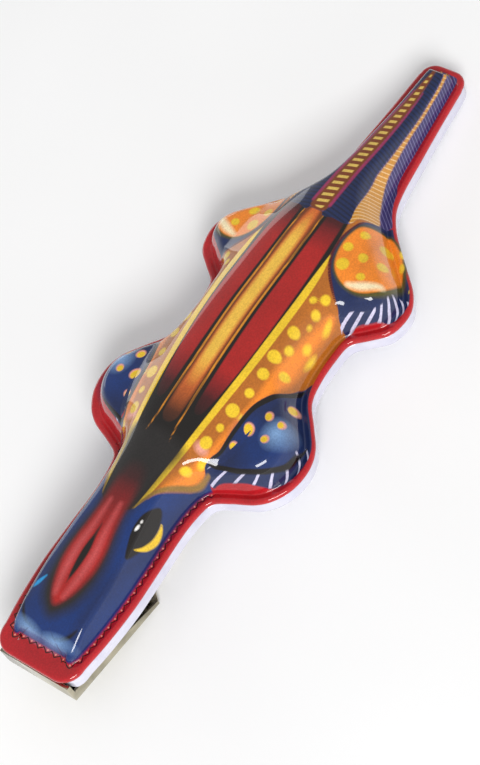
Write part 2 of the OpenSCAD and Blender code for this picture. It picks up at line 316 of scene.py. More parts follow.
def shell_piece():
    """The embossed sheet with its bead, as one closed skin of rings from rim to spine."""
    outline = rim_outline(OUTLINE_STEP)
    n = len(outline)
    normal = inward(outline)
    inset = foot_inset(outline)
    foot = outline + normal * inset[:, None]
    spine = np.c_[np.clip(foot[:, 0], *SPINE), np.zeros(n)]

    def ring(distance, z):
        return np.c_[outline + normal * np.broadcast_to(distance, n)[:, None], np.full(n, z)]

    def dome(s):
        p = foot + (spine - foot) * s
        wall = WALL_SLOPE * nearest(p, foot)[0]
        z = FLANGE_Z + smooth_min(back_height(*p.T), wall, curve(WALL_ROUND, p[:, 0]))
        blend_in = min(s / WALL_START, 1)
        return np.c_[p, FLANGE_Z + (z - FLANGE_Z) * blend_in]

    rings = [ring(BEAD_R * (1 - math.cos(a)), BEAD_R * math.sin(a) - BEAD_DROP) for a in BEAD_ARC]
    crown = BEAD_R - BEAD_DROP
    for share in FALL_STEPS:
        sink = share * share * (3 - 2 * share)
        rings.append(ring(BEAD_R + (inset - BEAD_R) * share, crown + (FLANGE_Z - crown) * sink))
    rings += [dome((k / DOME_RINGS) ** RING_CROWDING) for k in range(DOME_RINGS + 1)]
    rings[-1][:, 1] = 0
    top = len(rings) - 1
    sheet = np.array([0, 0, SHEET_T])
    rings.append(rings[-1] - sheet)
    rings += [dome(s) - sheet - [0, 0, BEND_ROOM * (1 - s) ** 4] for s in UNDER_STEPS]
    rings.append(ring(inset + UNDER_RIM, FLANGE_Z - SHEET_T))
    rings.append(ring(UNDER_BEAD, FLANGE_Z - SHEET_T))
    points = np.vstack(rings)
    return piece_from("tin_shell", points, ring_faces(len(rings), n, top), weld=WELD, outward=True)


# ---------------------------------------------------------------- the print
# Every outline below is on the plan, in x and distance from the middle line, so that
# both sides carry the same print.
PRINT_SHIFT = 0.2
# The skin's edge lies a little back and to the animal's left of the dome's foot, as a sheet
# does that was stamped out of register, so the red border is widest in front of the legs
SKIN_SHIFT = np.array([0.9, -0.9])
SKIN_EDGE = 0.3
PRINT_STEP = 0.4

HEAD = [(-3, -4), (-3, 0), (-3, 9), (8, 10), (20, 10), (30, 10), (33.6, 8.8), (35.2, 8), (36, 7), (36, 0),
        (36, -4)]
HEAD_EDGE = 0.12
BACK = [(24, 0), (25, 2.6), (28, 3.5), (36, 4.4), (46, 5.6), (56, 6.3), (70, 6.2), (79, 4.9),
        (79.5, 3), (79.5, 0), (79.5, -4), (24, -4)]
FLANK = [(25.4, 2.9), (30, 3.9), (38, 4.9), (50, 6), (60, 6.4), (72, 6), (79, 5), (80, 7.2),
         (72, 13), (60, 13), (50, 12), (36.5, 8.2), (33.6, 7.4), (31, 5.7), (28.2, 4)]
FLANK_GLOW = [(27.5, 4.1), (32, 5.4), (37, 7.2), (43, 8.3), (47.5, 8.9), (52, 8.9), (58, 9.2),
              (63, 9.8), (64, 10.6), (58, 10.2), (52, 10.6), (48, 10), (42, 8.9), (36, 8), (31.5, 6.2)]
STRIPE = [(25.4, 2.9, 0.05), (28, 3.5, 0.25), (32, 4.1, 0.35), (38, 4.9, 0.42), (45, 5.7, 0.48),
          (52, 6.3, 0.52), (60, 6.6, 0.52), (67, 6.5, 0.45), (71.5, 6.2, 0.1)]
CRIMSON = [(41.5, 2.9), (46, 2.6), (60, 2.45), (74, 2.35), (79, 2.4), (79, 4.4), (72, 5.3), (60, 5.75),
           (50, 5.4), (42, 4.3)]
FINE_LINE = [(35.2, 2.3, 0.05), (38, 1.95, 0.12), (46, 1.75, 0.17), (58, 1.75, 0.17), (72, 1.7, 0.15),
             (79, 1.6, 0.05)]
BAND = [(38.2, 0), (38.8, 1), (41, 1.4), (50, 1.5), (64, 1.5), (76, 1.5), (79, 1.2), (79, -1.2),
        (76, -1.5), (60, -1.5), (41, -1.4), (38.8, -1)]
BAND_GLOW = [(38.5, 0), (39, 0.8), (41.5, 1.15), (60, 1.2), (73, 1.1), (77.5, 0.5), (77.5, -0.5),
             (73, -1.1), (60, -1.2), (41.5, -1.15), (39, -0.8)]
BAND_HEART = [(42, 0), (44, 0.6), (48, 0.88), (60, 0.92), (72, 0.8), (76.8, 0.1), (76.8, -0.1),
              (72, -0.8), (60, -0.92), (48, -0.88), (44, -0.6)]
FLANK_DOTS = [(33.7, 5.9, 0.8, 0.45, 35), (35.7, 7.3, 0.8, 0.4, 25), (38.4, 6.6, 0.95, 0.75, 10),
              (41.2, 7.2, 0.6, 0.5, 0), (44.2, 7.4, 1, 0.9, 0), (47.6, 8, 0.7, 0.6, 0),
              (51, 8.1, 0.85, 0.75, 0), (54, 8, 0.95, 0.85, 0), (56.1, 8.8, 0.75, 0.4, 0),
              (58.6, 8.2, 0.9, 0.65, 0), (60.7, 9.1, 0.45, 0.2, 0), (62.7, 9, 0.75, 0.45, 0),
              (64.2, 7.9, 0.6, 0.45, 0), (65.3, 9.1, 0.8, 0.6, 0), (52.7, 9.9, 0.75, 0.5, 0),
              (58.2, 9.8, 0.8, 0.3, 0), (62.6, 10.3, 1.2, 0.25, 0), (57.2, 10.5, 1.2, 0.2, 0),
              (44, 8.7, 0.5, 0.2, 10)]
FLANK_PALE = [(37.4, 6.4, 0.7, 0.85, 20)]

FRONT_LEG = [(34.9, 8), (37, 7.9), (38.6, 8.5), (42, 8.7), (46, 9.1), (48.5, 9.9), (51, 11.1),
             (54.4, 11.6), (55.4, 14), (51, 19.5), (43, 21), (36, 19), (33.2, 12)]
FRONT_LEG_EDGE = [(36.9, 8, 0.12), (38.6, 8.7, 0.28), (42, 8.95, 0.3), (46, 9.4, 0.32), (49, 10.5, 0.35),
                  (51.4, 11.4, 0.25), (53.4, 11.5, 0.1)]
FRONT_CLAW_EDGE = [(36.4, 8.2, 0.3), (36.9, 10, 0.28), (37.8, 12.8, 0.26), (39.4, 15.3, 0.24),
                   (42, 16.9, 0.2), (46, 17, 0.12)]
FRONT_CLAWS = [(34.2, 8.2), (36.3, 8.3), (36.9, 10), (37.8, 12.8), (39.4, 15.2), (42, 16.8),
               (46, 16.9), (46, 20), (37, 20), (32.5, 13)]
FRONT_DOTS = [(40.1, 9.7, 0.5, 0.42, 0), (43.2, 10.4, 0.85, 0.6, -30), (46.3, 11.7, 0.65, 0.5, -35),
              (43, 13.2, 0.5, 0.5, 0), (46, 13.9, 0.55, 0.38, -22), (49.4, 12.9, 0.7, 0.42, -28)]
# Painted highlight: a soft pale blue patch on the front leg's dome, where the lacquer catches the light
FRONT_PAINTED_HIGHLIGHT = [(44.6, 14.2, 1.6, 1.3, 0)]

THIGH = [(64.2, 11.3), (65.6, 10.6), (67.2, 9.1), (69.2, 7.5), (71.4, 6.3), (75, 5.8), (79.6, 6.6),
         (81.8, 8), (82, 11), (79, 16), (72, 20), (66, 18), (63.5, 13)]
THIGH_RIM = [(65.6, 10.5, 0.12), (67.2, 9, 0.2), (69.2, 7.4, 0.22), (71.6, 6.3, 0.2), (75, 5.9, 0.15),
             (79, 6.5, 0.1)]
THIGH_MOSS = [(68.1, 11.1), (68.5, 9.2), (69.9, 7.5), (72, 6.6), (75, 6.2), (78.2, 6.6), (80.5, 7.9),
              (80.4, 10), (78.9, 12.6), (76.3, 14.4), (73.4, 15.6), (71, 15.7), (69.2, 14.6), (68.2, 12.8)]
THIGH_DISC = [(68.5, 11), (68.9, 9.2), (70.2, 7.6), (72.2, 6.75), (75, 6.4), (78, 6.8), (80.2, 8.2),
              (80, 9.9), (78.4, 12.2), (76, 13.9), (73.4, 15), (71.2, 15.1), (69.6, 14.1), (68.7, 12.6)]
THIGH_DOTS = [(71.3, 8.2, 1.0, 0.85, 0), (74.1, 7.3, 0.78, 0.65, 0), (77.3, 7.8, 0.75, 0.55, 0),
              (73.8, 9.9, 0.85, 0.7, -40), (77.6, 10.4, 1.0, 0.65, -38), (70.9, 11.4, 0.6, 0.7, 0),
              (74.2, 12.6, 0.9, 0.6, -25), (76.8, 13.2, 0.8, 0.4, -30), (78.9, 11.9, 0.7, 0.4, -40)]
# Painted highlight: a pale cream crescent along the lower edge of the thigh's disc
THIGH_PAINTED_HIGHLIGHT = [(69, 10.4, 0.3), (69.7, 12.4, 0.6), (71, 14.6, 0.35)]
HEM_DOTS = [(81.5, 9.6, 0.6, 0.35, -60), (80.6, 12.3, 0.6, 0.3, -45), (78.4, 14.6, 0.6, 0.3, -40),
            (74.4, 16.4, 0.7, 0.25, -10)]
REAR_CLAWS = [(63.8, 11.4), (65, 11), (66.4, 12.6), (67.4, 14.2), (69.2, 15.5), (72, 15.9), (72, 19),
              (66, 18), (62, 13)]

TAIL = [(77, -4), (77, 0), (77, 5), (79, 6), (82, 8), (84, 9), (86.5, 6.5), (89, 4.55), (95, 3.9),
        (101, 3.45), (106, 3), (108.6, 2.6), (109, 1.2), (109, 0), (109, -4)]
TAIL_NAVY = [(76.8, 1.2), (76.8, 3), (77.2, 5.2), (80.5, 4.5), (83, 3.9), (85.5, 3.35), (88, 2.95),
             (95, 2.6), (101, 2.2), (107, 1.55), (108.4, 0.5), (108.6, 0), (106, 0.3), (100, 1.05),
             (90, 1.3), (82, 1.5)]
TAIL_GOLD = [(77.5, 5.2), (80, 4.7), (83, 4), (85.5, 3.45), (88, 3.05), (95, 2.7), (101, 2.3), (107, 1.65),
             (108.7, 0.4), (111, -0.3), (111, 0.15), (109.2, 0.6), (107.4, 1.85), (101, 2.5), (95, 2.95),
             (89, 3.6), (85.5, 4.5), (82.5, 5.9), (80.8, 7), (78, 6.8)]
LADDER = [(77.4, -0.2), (78, 0.8), (82, 0.8), (90, 0.68), (98, 0.5), (105, 0.24), (107, 0),
          (105, -0.24), (98, -0.5), (90, -0.68), (82, -0.8), (78, -0.8)]
LADDER_SIDE = [(77, -0.2), (77.5, 1.35), (82, 1.35), (92, 1.15), (100, 0.9), (107, 0.3), (107.6, 0),
               (107, -0.3), (100, -0.9), (92, -1.15), (82, -1.35), (77.5, -1.35)]
MAGENTA = [(78.3, 1.5, 0.22), (85, 1.4, 0.22), (95, 1.2, 0.16), (103, 0.8, 0.08)]

NOSE_HALO = [(6.8, 0), (8.1, 1.9), (10, 3.1), (13, 3.85), (17, 3.9), (21, 3.1), (24, 2.6), (27, 3.2),
             (31, 3.8), (36, 4.3), (36, -4), (27, -3.2), (21, -3.1), (17, -3.9), (13, -3.85), (10, -3.1),
             (8.1, -1.9)]
NOSE_PATCH = [(8.6, 0), (9.8, 1.15), (12, 2.1), (15, 2.75), (18, 2.65), (21, 2.2), (24, 1.95), (28, 1.9),
              (31, 1.3), (32, 0), (31, -1.3), (28, -1.9), (24, -1.95), (21, -2.2), (18, -2.65), (15, -2.75),
              (12, -2.1), (9.8, -1.15)]
NOSE_ROSE = [(10, 0.75, 0.2), (13, 1.3, 0.45), (17, 1.5, 0.5), (21, 1.1, 0.3), (25, 0.9, 0.1)]
NOSE_SLIT = [(11.8, -0.1, 0.06), (14, 0.05, 0.34), (17, 0.15, 0.42), (19.5, 0.1, 0.16), (21.5, 0, 0.04)]
NOSTRIL = [(4.5, 1.4, 0.06), (4.8, 3, 0.2), (5.7, 4.2, 0.28), (7, 4.9, 0.1)]
EYE = [(18.8, 5.5), (20.6, 4.8), (22.6, 4.3), (24.6, 4.3), (26.4, 4.8), (27.6, 5.4), (26.2, 5.9),
       (23.6, 6.15), (21, 6)]
EYE_CRESCENT = [(20.6, 5.6, 0.05), (21.7, 6.1, 0.18), (23.4, 6.35, 0.22), (25, 6.25, 0.16),
                (26.1, 6, 0.05)]
EYE_SPARK = [(23.3, 4.7, 0.5, 0.18, 5), (24.4, 4.75, 0.22, 0.12, 0)]
CHEEK = [(6.5, 4.9, 0.3), (12, 5.2, 0.45), (20, 6.2, 0.3), (28, 6.6, 0.3), (33, 7.4, 0.2)]
CHEEK_STROKE = [(9.4, 4.9, 0.1), (10.3, 4.5, 0.32), (11.6, 3.8, 0.12)]
FLANK_BORDER = [(25.2, 2.75, 0.08), (28.2, 3.95, 0.22), (31, 5.6, 0.26), (33.4, 7.3, 0.24), (35.2, 8.2, 0.2)]
# Painted highlight: a soft pale blue patch on the front of the snout
SNOUT_PAINTED_HIGHLIGHT = [(4.3, 2.6, 0.5, 1.5, -10)]

# Printing inks; sky and cream also colour the painted highlights on the front leg, snout and thigh
INKS = {
    "rim_red": "#B41A22", "cobalt": "#112F6A", "navy": "#182650", "deep_navy": "#131A38",
    "black": "#140F0C", "charcoal": "#242120", "crimson": "#A81D1A", "maroon": "#521316",
    "flame": "#D2682A", "honey": "#F0BE48",
    "yellow": "#E8C028", "orange": "#EE8624", "amber": "#D98A20", "brown": "#AE641E",
    "umber": "#7A3A14", "gold": "#C88A32", "purple": "#3C3468", "lavender": "#C6C2DC", "straw": "#DDBA5A",
    "pink": "#E9A08C", "cream": "#F5E3B8", "magenta": "#9A2C58", "moss": "#4E4A1E",
    "rose": "#C24E4E", "lilac": "#77729E", "pale_gold": "#E2C08A",
    "tan": "#8C6A2E", "cyan": "#1E93D2", "white": "#F2F0EC", "sky": "#7FA3CF",
}
SHARP = 0.07


def fade(q, start, end):
    """Signed distance from the stretch of the body between two stations, negative inside."""
    return np.maximum(start - q[:, 0], q[:, 0] - end)


def print_layers(q, y, edge, skin):
    """Layers of the print on plan points q, in the order in which they are rolled on; three of them are
    painted highlights, not print. Each has a name, an ink, a softness in mm, a shape and sometimes a fade
    along the body. A layer without an ink shows only its lines. Edge is the distance in from the dome's foot,
    and skin the signed distance from the printed skin's edge."""
    front = np.maximum(area(q, FRONT_LEG), skin)
    thigh = np.maximum(area(q, THIGH), skin)
    tail = np.maximum(area(q, TAIL), skin)
    head = np.maximum(area(q, HEAD), HEAD_EDGE - edge)
    flank = np.maximum(area(q, FLANK), skin)
    return [
        ("head", "cobalt", 0.1, head),
        ("cheek", "navy", 0.9, np.maximum(stroke(q, CHEEK), head)),
        ("flank", "brown", SHARP, flank),
        ("flank_glow", "orange", 0.35, np.maximum(area(q, FLANK_GLOW), flank)),
        ("flank_pale", "pink", 0.4, dots(q, FLANK_PALE)),
        ("flank_dots", "yellow", 0.12, dots(q, FLANK_DOTS)),
        ("back", "black", 0.12, area(q, BACK)),
        ("crimson_dusk", "maroon", 0.12, area(q, CRIMSON), fade(q, 42.8, 77.5), 2.4),
        ("crimson", "crimson", 0.12, area(q, CRIMSON), fade(q, 46.5, 73.5), 2.6),
        ("fine_line", "amber", SHARP, stroke(q, FINE_LINE)),
        ("band", "umber", 0.12, area(q, BAND), fade(q, 40.5, 199), 3.0),
        ("band_glow", "flame", 0.25, area(q, BAND_GLOW), fade(q, 43, 199), 3.0),
        ("band_heart", "honey", 0.35, area(q, BAND_HEART), fade(q, 47, 74), 3.0),
        ("stripe", "yellow", SHARP, stroke(q, STRIPE)),
        ("tail", "purple", SHARP, tail),
        ("tail_gold", "gold", SHARP, np.maximum(area(q, TAIL_GOLD), tail)),
        ("tail_navy", "navy", SHARP, area(q, TAIL_NAVY)),
        ("ladder_side", "umber", 0.15, area(q, LADDER_SIDE)),
        ("magenta", "magenta", 0.12, stroke(q, MAGENTA)),
        ("ladder", None, 0.1, area(np.c_[q[:, 0], y - PRINT_SHIFT], LADDER)),
        ("front_leg", "navy", SHARP, front),
        ("front_blue", "cobalt", 1.6, dots(q, [(42.4, 13.2, 3.4, 3.6, 0)])),
        # Painted highlight on the front leg, laid on in pale blue ink
        ("front_painted_highlight", "sky", 1.2, dots(q, FRONT_PAINTED_HIGHLIGHT)),
        ("front_halo", "pink", 0.12, dots(q, [(x + 0.1, y + 0.1, a + 0.14, b + 0.12, t)
                                             for x, y, a, b, t in FRONT_DOTS])),
        ("front_dots", "yellow", SHARP, dots(q, FRONT_DOTS)),
        ("front_claws", "navy", SHARP, np.maximum(area(q, FRONT_CLAWS), front)),
        ("front_edge", "black", SHARP, np.maximum(np.minimum(stroke(q, FRONT_LEG_EDGE),
                                                  stroke(q, FRONT_CLAW_EDGE)), front)),
        ("thigh", "navy", SHARP, thigh),
        ("rear_claws", None, SHARP, np.maximum(area(q, REAR_CLAWS), skin)),
        ("thigh_rim", "maroon", SHARP, stroke(q, THIGH_RIM)),
        ("thigh_moss", "moss", 0.25, area(q, THIGH_MOSS)),
        ("thigh_disc", "orange", 0.15, area(q, THIGH_DISC)),
        # Painted highlight along the lower edge of the thigh's disc
        ("thigh_painted_highlight", "cream", 0.35, stroke(q, THIGH_PAINTED_HIGHLIGHT)),
        ("thigh_dots", "yellow", 0.12, dots(q, THIGH_DOTS)),
        ("hem_dots", "yellow", SHARP, np.maximum(dots(q, HEM_DOTS), thigh)),
        ("flank_border", "tan", 0.12, stroke(q, FLANK_BORDER)),
        ("nose_halo", "charcoal", 0.9, area(q, NOSE_HALO)),
        ("nose_dusk", "maroon", 0.8, area(q, NOSE_PATCH), fade(q, -99, 29), 3.0),
        ("nose_patch", "crimson", 0.45, area(q, NOSE_PATCH), fade(q, -99, 24), 5.0),
        ("nose_rose", "rose", 0.5, stroke(q, NOSE_ROSE)),
        ("nose_slit", "black", 0.15, stroke(q, NOSE_SLIT)),
        ("nostril", "black", 0.2, stroke(q, NOSTRIL)),
        # Painted highlight on the snout, laid on in pale blue ink
        ("snout_painted_highlight", "sky", 0.8, dots(q, SNOUT_PAINTED_HIGHLIGHT)),
        ("cheek_stroke", "cyan", 0.12, stroke(np.c_[q[:, 0], y], CHEEK_STROKE)),
        ("eye", "black", 0.1, area(q, EYE)),
        ("eye_crescent", "yellow", SHARP, stroke(q, EYE_CRESCENT)),
        ("eye_spark", "white", SHARP, dots(q, EYE_SPARK)),
    ]


# ---------------------------------------------------------------- materials
def linear(code, alpha=1.0):
    """Linear colour of an sRGB hex value."""
    parts = [int(code[i:i + 2], 16) / 255 for i in (1, 3, 5)]
    return [c / 12.92 if c <= 0.04045 else ((c + 0.055) / 1.055) ** 2.4 for c in parts] + [alpha]


def add(tree, kind, sockets=None, out=0, **settings):
    """Adds a node with its settings and with its sockets' values or links, and gives an output."""
    node = tree.nodes.new(kind)
    for key, value in settings.items():
        setattr(node, key, value)
    for key, value in (sockets or {}).items():
        if isinstance(value, bpy.types.NodeSocket):
            tree.links.new(value, node.inputs[key])
        else:
            node.inputs[key].default_value = value
    return node.outputs[out] if node.outputs else None


def new_material(name):
    """A named material and its empty tree."""
    material = bpy.data.materials.new(name)
    material.use_nodes = True
    material.node_tree.nodes.clear()
    return material, material.node_tree


# Line patterns of the print: lines follow along + slope * across, pitch apart in mm, and
# cover a share of the pitch. They are laid over the layer that they are named for.
LINES = [
    ("tail", "lilac", "plan_x", "plan_r", 0.85, 0.62, 0.2),
    ("tail_gold", "pale_gold", "plan_x", "plan_r", -1.5, 0.95, 0.2),
    ("tail_navy", "deep_navy", "plan_x", "plan_r", 0.15, 0.72, 0.4),
    ("ladder", "straw", "plan_x", "plan_y", 0.3, 1.25, 0.44),
    ("front_claws", "lavender", "foot_run", "edge", -2.2, 3.0, 0.19),
    ("rear_claws", "lavender", "foot_run", "edge", -2.2, 1.9, 0.34),
]
LINE_SOFT = 0.05
# Nearly all of a noise lies between these two values
NOISE_LOW, NOISE_HIGH = 0.3, 0.7
# Size in mm and detail of the ink's grain, its clouds, the gloss's haze and the lacquer's flow
TIN_NOISES = ((0.25, 1), (4, 3), (1.2, 2), (2.5, 1))
# Width in mm of the clouds in a plain finish and in the paper
CLOUD_MM = 3.5
PAPER_MM = 60
# Teeth along the jaw's border: their pitch, height and foot, and the gum between two of them
TOOTH_PITCH = 1.5
TOOTH_TALL = 0.6
TOOTH_FOOT = 0.06
GUM_RISE = 0.22
TOOTH_LINE = (0.06, 0.14)
GUM_SIZE = (0.08, 0.18)
LIP_SOFT = 0.05
MOUTH_END = (33.5, 34.5)


def printed_tin(layers):
    """Lithographed tin: flat inks rolled on in turn, so their edges are crisp and the colour
    has a fine grain, under a clear stoved lacquer that gives sharp wet-looking highlights."""
    material, tree = new_material("lithographed_tin")
    plan = {name: add(tree, "ShaderNodeAttribute", out="Fac", attribute_name=name)
            for name in ("plan_x", "plan_y", "plan_r", "edge", "foot_run")}
    colour = linear(INKS["rim_red"])
    for name, ink, soft, _, *faded in layers:
        mask = add(tree, "ShaderNodeAttribute", out="Fac", attribute_name="ink_" + name)
        mask = add(tree, "ShaderNodeMapRange", {0: mask, 1: -soft, 2: soft, 3: 1, 4: 0})
        if faded:
            span = add(tree, "ShaderNodeAttribute", out="Fac", attribute_name="fade_" + name)
            span = add(tree, "ShaderNodeMapRange", {0: span, 1: -faded[1], 2: faded[1], 3: 1, 4: 0})
            mask = add(tree, "ShaderNodeMath", {0: mask, 1: span}, operation="MULTIPLY")
        prints = [(ink, mask)] if ink else []
        for line_ink, along, across, slope, pitch, share in (row[1:] for row in LINES if row[0] == name):
            run = add(tree, "ShaderNodeMath", {0: plan[across], 1: slope, 2: plan[along]},
                      operation="MULTIPLY_ADD")
            run = add(tree, "ShaderNodeMath", {0: run, 1: pitch}, operation="DIVIDE")
            wave = add(tree, "ShaderNodeMath", {0: run, 1: 0.5}, operation="PINGPONG")
            soft_edge = LINE_SOFT / pitch
            drawn = add(tree, "ShaderNodeMapRange", {0: wave, 1: share / 2 - soft_edge,
                                                     2: share / 2 + soft_edge, 3: 1, 4: 0})
            prints.append((line_ink, add(tree, "ShaderNodeMath", {0: mask, 1: drawn},
                                         operation="MULTIPLY")))
        for inked, cover in prints:
            colour = add(tree, "ShaderNodeMix", {0: cover, 6: colour, 7: linear(INKS[inked])}, 2,
                         data_type="RGBA")

    # Zig-zag of teeth on the red border of the jaw, with a pink gum inside each
    lip = add(tree, "ShaderNodeMath", {0: HEAD_EDGE, 1: plan["edge"]}, operation="SUBTRACT")
    turn = add(tree, "ShaderNodeMath", {0: plan["foot_run"], 1: TOOTH_PITCH}, operation="DIVIDE")
    turn = add(tree, "ShaderNodeMath", {0: turn, 1: 0.5}, operation="PINGPONG")
    ridge = add(tree, "ShaderNodeMath", {0: turn, 1: 2 * TOOTH_TALL, 2: TOOTH_FOOT},
                operation="MULTIPLY_ADD")
    off = add(tree, "ShaderNodeMath", {0: lip, 1: ridge}, operation="SUBTRACT")
    off = add(tree, "ShaderNodeMath", {0: off}, operation="ABSOLUTE")
    zigzag = add(tree, "ShaderNodeMapRange", {0: off, 1: TOOTH_LINE[0], 2: TOOTH_LINE[1], 3: 1, 4: 0})
    across = add(tree, "ShaderNodeMath", {0: turn, 1: TOOTH_PITCH}, operation="MULTIPLY")
    spot = add(tree, "ShaderNodeCombineXYZ", {0: across, 1: lip})
    away = add(tree, "ShaderNodeVectorMath", {0: spot, 1: (TOOTH_PITCH / 2, GUM_RISE, 0)}, "Value",
               operation="DISTANCE")
    gum = add(tree, "ShaderNodeMapRange", {0: away, 1: GUM_SIZE[0], 2: GUM_SIZE[1], 3: 1, 4: 0})
    outside = add(tree, "ShaderNodeMapRange", {0: lip, 1: 0, 2: LIP_SOFT})
    mouth = add(tree, "ShaderNodeMapRange", {0: plan["plan_x"], 1: MOUTH_END[0], 2: MOUTH_END[1],
                                             3: 1, 4: 0})
    border = add(tree, "ShaderNodeMath", {0: outside, 1: mouth}, operation="MULTIPLY")
    for inked, shape in (("black", zigzag), ("pink", gum)):
        cover = add(tree, "ShaderNodeMath", {0: shape, 1: border}, operation="MULTIPLY")
        colour = add(tree, "ShaderNodeMix", {0: cover, 6: colour, 7: linear(INKS[inked])}, 2,
                     data_type="RGBA")

    # Ink grain of about a quarter millimetre, cloudier tone over some 4 mm, uneven gloss over
    # about 1 mm, and a lacquer flow of about 2.5 mm across that is a few microns deep
    place = add(tree, "ShaderNodeTexCoord", out="Object")
    grain, cloud, haze, flow = [
        add(tree, "ShaderNodeTexNoise", {"Vector": place, "Scale": 1 / (size * MM), "Detail": detail})
        for size, detail in TIN_NOISES]
    grain = add(tree, "ShaderNodeMapRange", {0: grain, 1: NOISE_LOW, 2: NOISE_HIGH, 3: 0.86, 4: 1.1})
    cloud = add(tree, "ShaderNodeMapRange", {0: cloud, 1: NOISE_LOW, 2: NOISE_HIGH, 3: 0.9, 4: 1.08})
    tone = add(tree, "ShaderNodeMath", {0: grain, 1: cloud}, operation="MULTIPLY")
    colour = add(tree, "ShaderNodeVectorMath", {0: colour, "Scale": tone}, operation="SCALE")
    gloss = add(tree, "ShaderNodeMapRange", {0: haze, 1: NOISE_LOW, 2: NOISE_HIGH, 3: 0.32, 4: 0.46})
    relief = add(tree, "ShaderNodeBump", {"Height": flow, "Strength": 0.35, "Distance": 0.02 * MM})
    surface = add(tree, "ShaderNodeBsdfPrincipled", {
        "Base Color": colour, "Roughness": gloss, "Specular IOR Level": 0.06, "Coat Weight": 1,
        "Coat Roughness": 0.035, "Normal": relief})
    add(tree, "ShaderNodeOutputMaterial", {"Surface": surface})
    return material


def plain_finish(name, colour, dark, metallic, rough, grain_mm, stretch, depth_mm, coat=0.0):
    """A finish of one colour with its grain in tone, roughness and relief."""
    material, tree = new_material(name)
    place = add(tree, "ShaderNodeTexCoord", out="Object")
    drawn = add(tree, "ShaderNodeMapping", {"Vector": place, "Scale": stretch})
    grain = add(tree, "ShaderNodeTexNoise", {"Vector": drawn, "Scale": 1 / (grain_mm * MM),
                                             "Detail": 3, "Roughness": 0.6})
    cloud = add(tree, "ShaderNodeTexNoise", {"Vector": place, "Scale": 1 / (CLOUD_MM * MM)})
    cloud = add(tree, "ShaderNodeMapRange", {0: cloud, 1: 0.3, 2: 0.6})
    tone = add(tree, "ShaderNodeMix", {0: cloud, 6: linear(dark), 7: linear(colour)}, 2,
               data_type="RGBA")
    gloss = add(tree, "ShaderNodeMapRange", {0: grain, 1: NOISE_LOW, 2: NOISE_HIGH,
                                             3: rough * 0.8, 4: rough * 1.3})
    relief = add(tree, "ShaderNodeBump", {"Height": grain, "Strength": 0.25,
                                          "Distance": depth_mm * MM})
    surface = add(tree, "ShaderNodeBsdfPrincipled", {
        "Base Color": tone, "Metallic": metallic, "Roughness": gloss, "Coat Weight": coat,
        "Coat Roughness": 0.05, "Normal": relief})
    add(tree, "ShaderNodeOutputMaterial", {"Surface": surface})
    return material


def paper_backdrop():
    """Matt white paper, a little uneven, so that it lifts the shadows without a glare."""
    material, tree = new_material("matt_white_paper")
    place = add(tree, "ShaderNodeTexCoord", out="Object")
    fibre = add(tree, "ShaderNodeTexNoise", {"Vector": place, "Scale": 1 / (PAPER_MM * MM)})
    tone = add(tree, "ShaderNodeMapRange", {0: fibre, 1: NOISE_LOW, 2: NOISE_HIGH, 3: 0.93, 4: 0.97})
    tint = add(tree, "ShaderNodeCombineColor", {0: tone, 1: tone, 2: tone})
    surface = add(tree, "ShaderNodeBsdfPrincipled", {
        "Base Color": tint, "Roughness": 0.9, "Specular IOR Level": 0.1})
    add(tree, "ShaderNodeOutputMaterial", {"Surface": surface})
    return material


# ---------------------------------------------------------------- pieces
def paint_shell(shell):
    """Writes the print's layers and coordinates onto the shell, and gives it the finish."""
    co = level_points(shell)
    x, y = co[:, 0], co[:, 1]
    r = np.abs(y - PRINT_SHIFT)
    q = np.c_[x, r]
    outline = rim_outline(PRINT_STEP)
    foot = outline + inward(outline) * foot_inset(outline)[:, None]
    edge, foot_run = nearest(co[:, :2], foot)
    within = area(co[:, :2], foot, steps=0) < 0
    edge = np.where(within, edge, -edge)
    skin_edge = nearest(co[:, :2] - SKIN_SHIFT, foot)[0]
    skin_within = area(co[:, :2] - SKIN_SHIFT, foot, steps=0) < 0
    skin = SKIN_EDGE - np.where(skin_within, skin_edge, -skin_edge)
    layers = print_layers(q, y, edge, skin)
    fields = {"plan_x": x, "plan_y": y - PRINT_SHIFT, "plan_r": r, "edge": edge,
              "foot_run": foot_run}
    fields.update({"ink_" + layer[0]: layer[3] for layer in layers})
    fields.update({"fade_" + layer[0]: layer[4] for layer in layers if len(layer) > 4})
    for name, values in fields.items():
        attribute = shell.data.attributes.new(name, "FLOAT", "POINT")
        attribute.data.foreach_set("value", np.clip(values, -200, 200).astype(np.float32))
    shell.data.materials.append(printed_tin(layers))


TRAY_T = 0.4
TRAY_ROUND = 0.55
TRAY_STEP = 0.6
NOSE_TAPER = 1.2
BEAD_GAP = 0.01
FLOOR_STEPS = (0.2, 0.5, 0.8, 1)


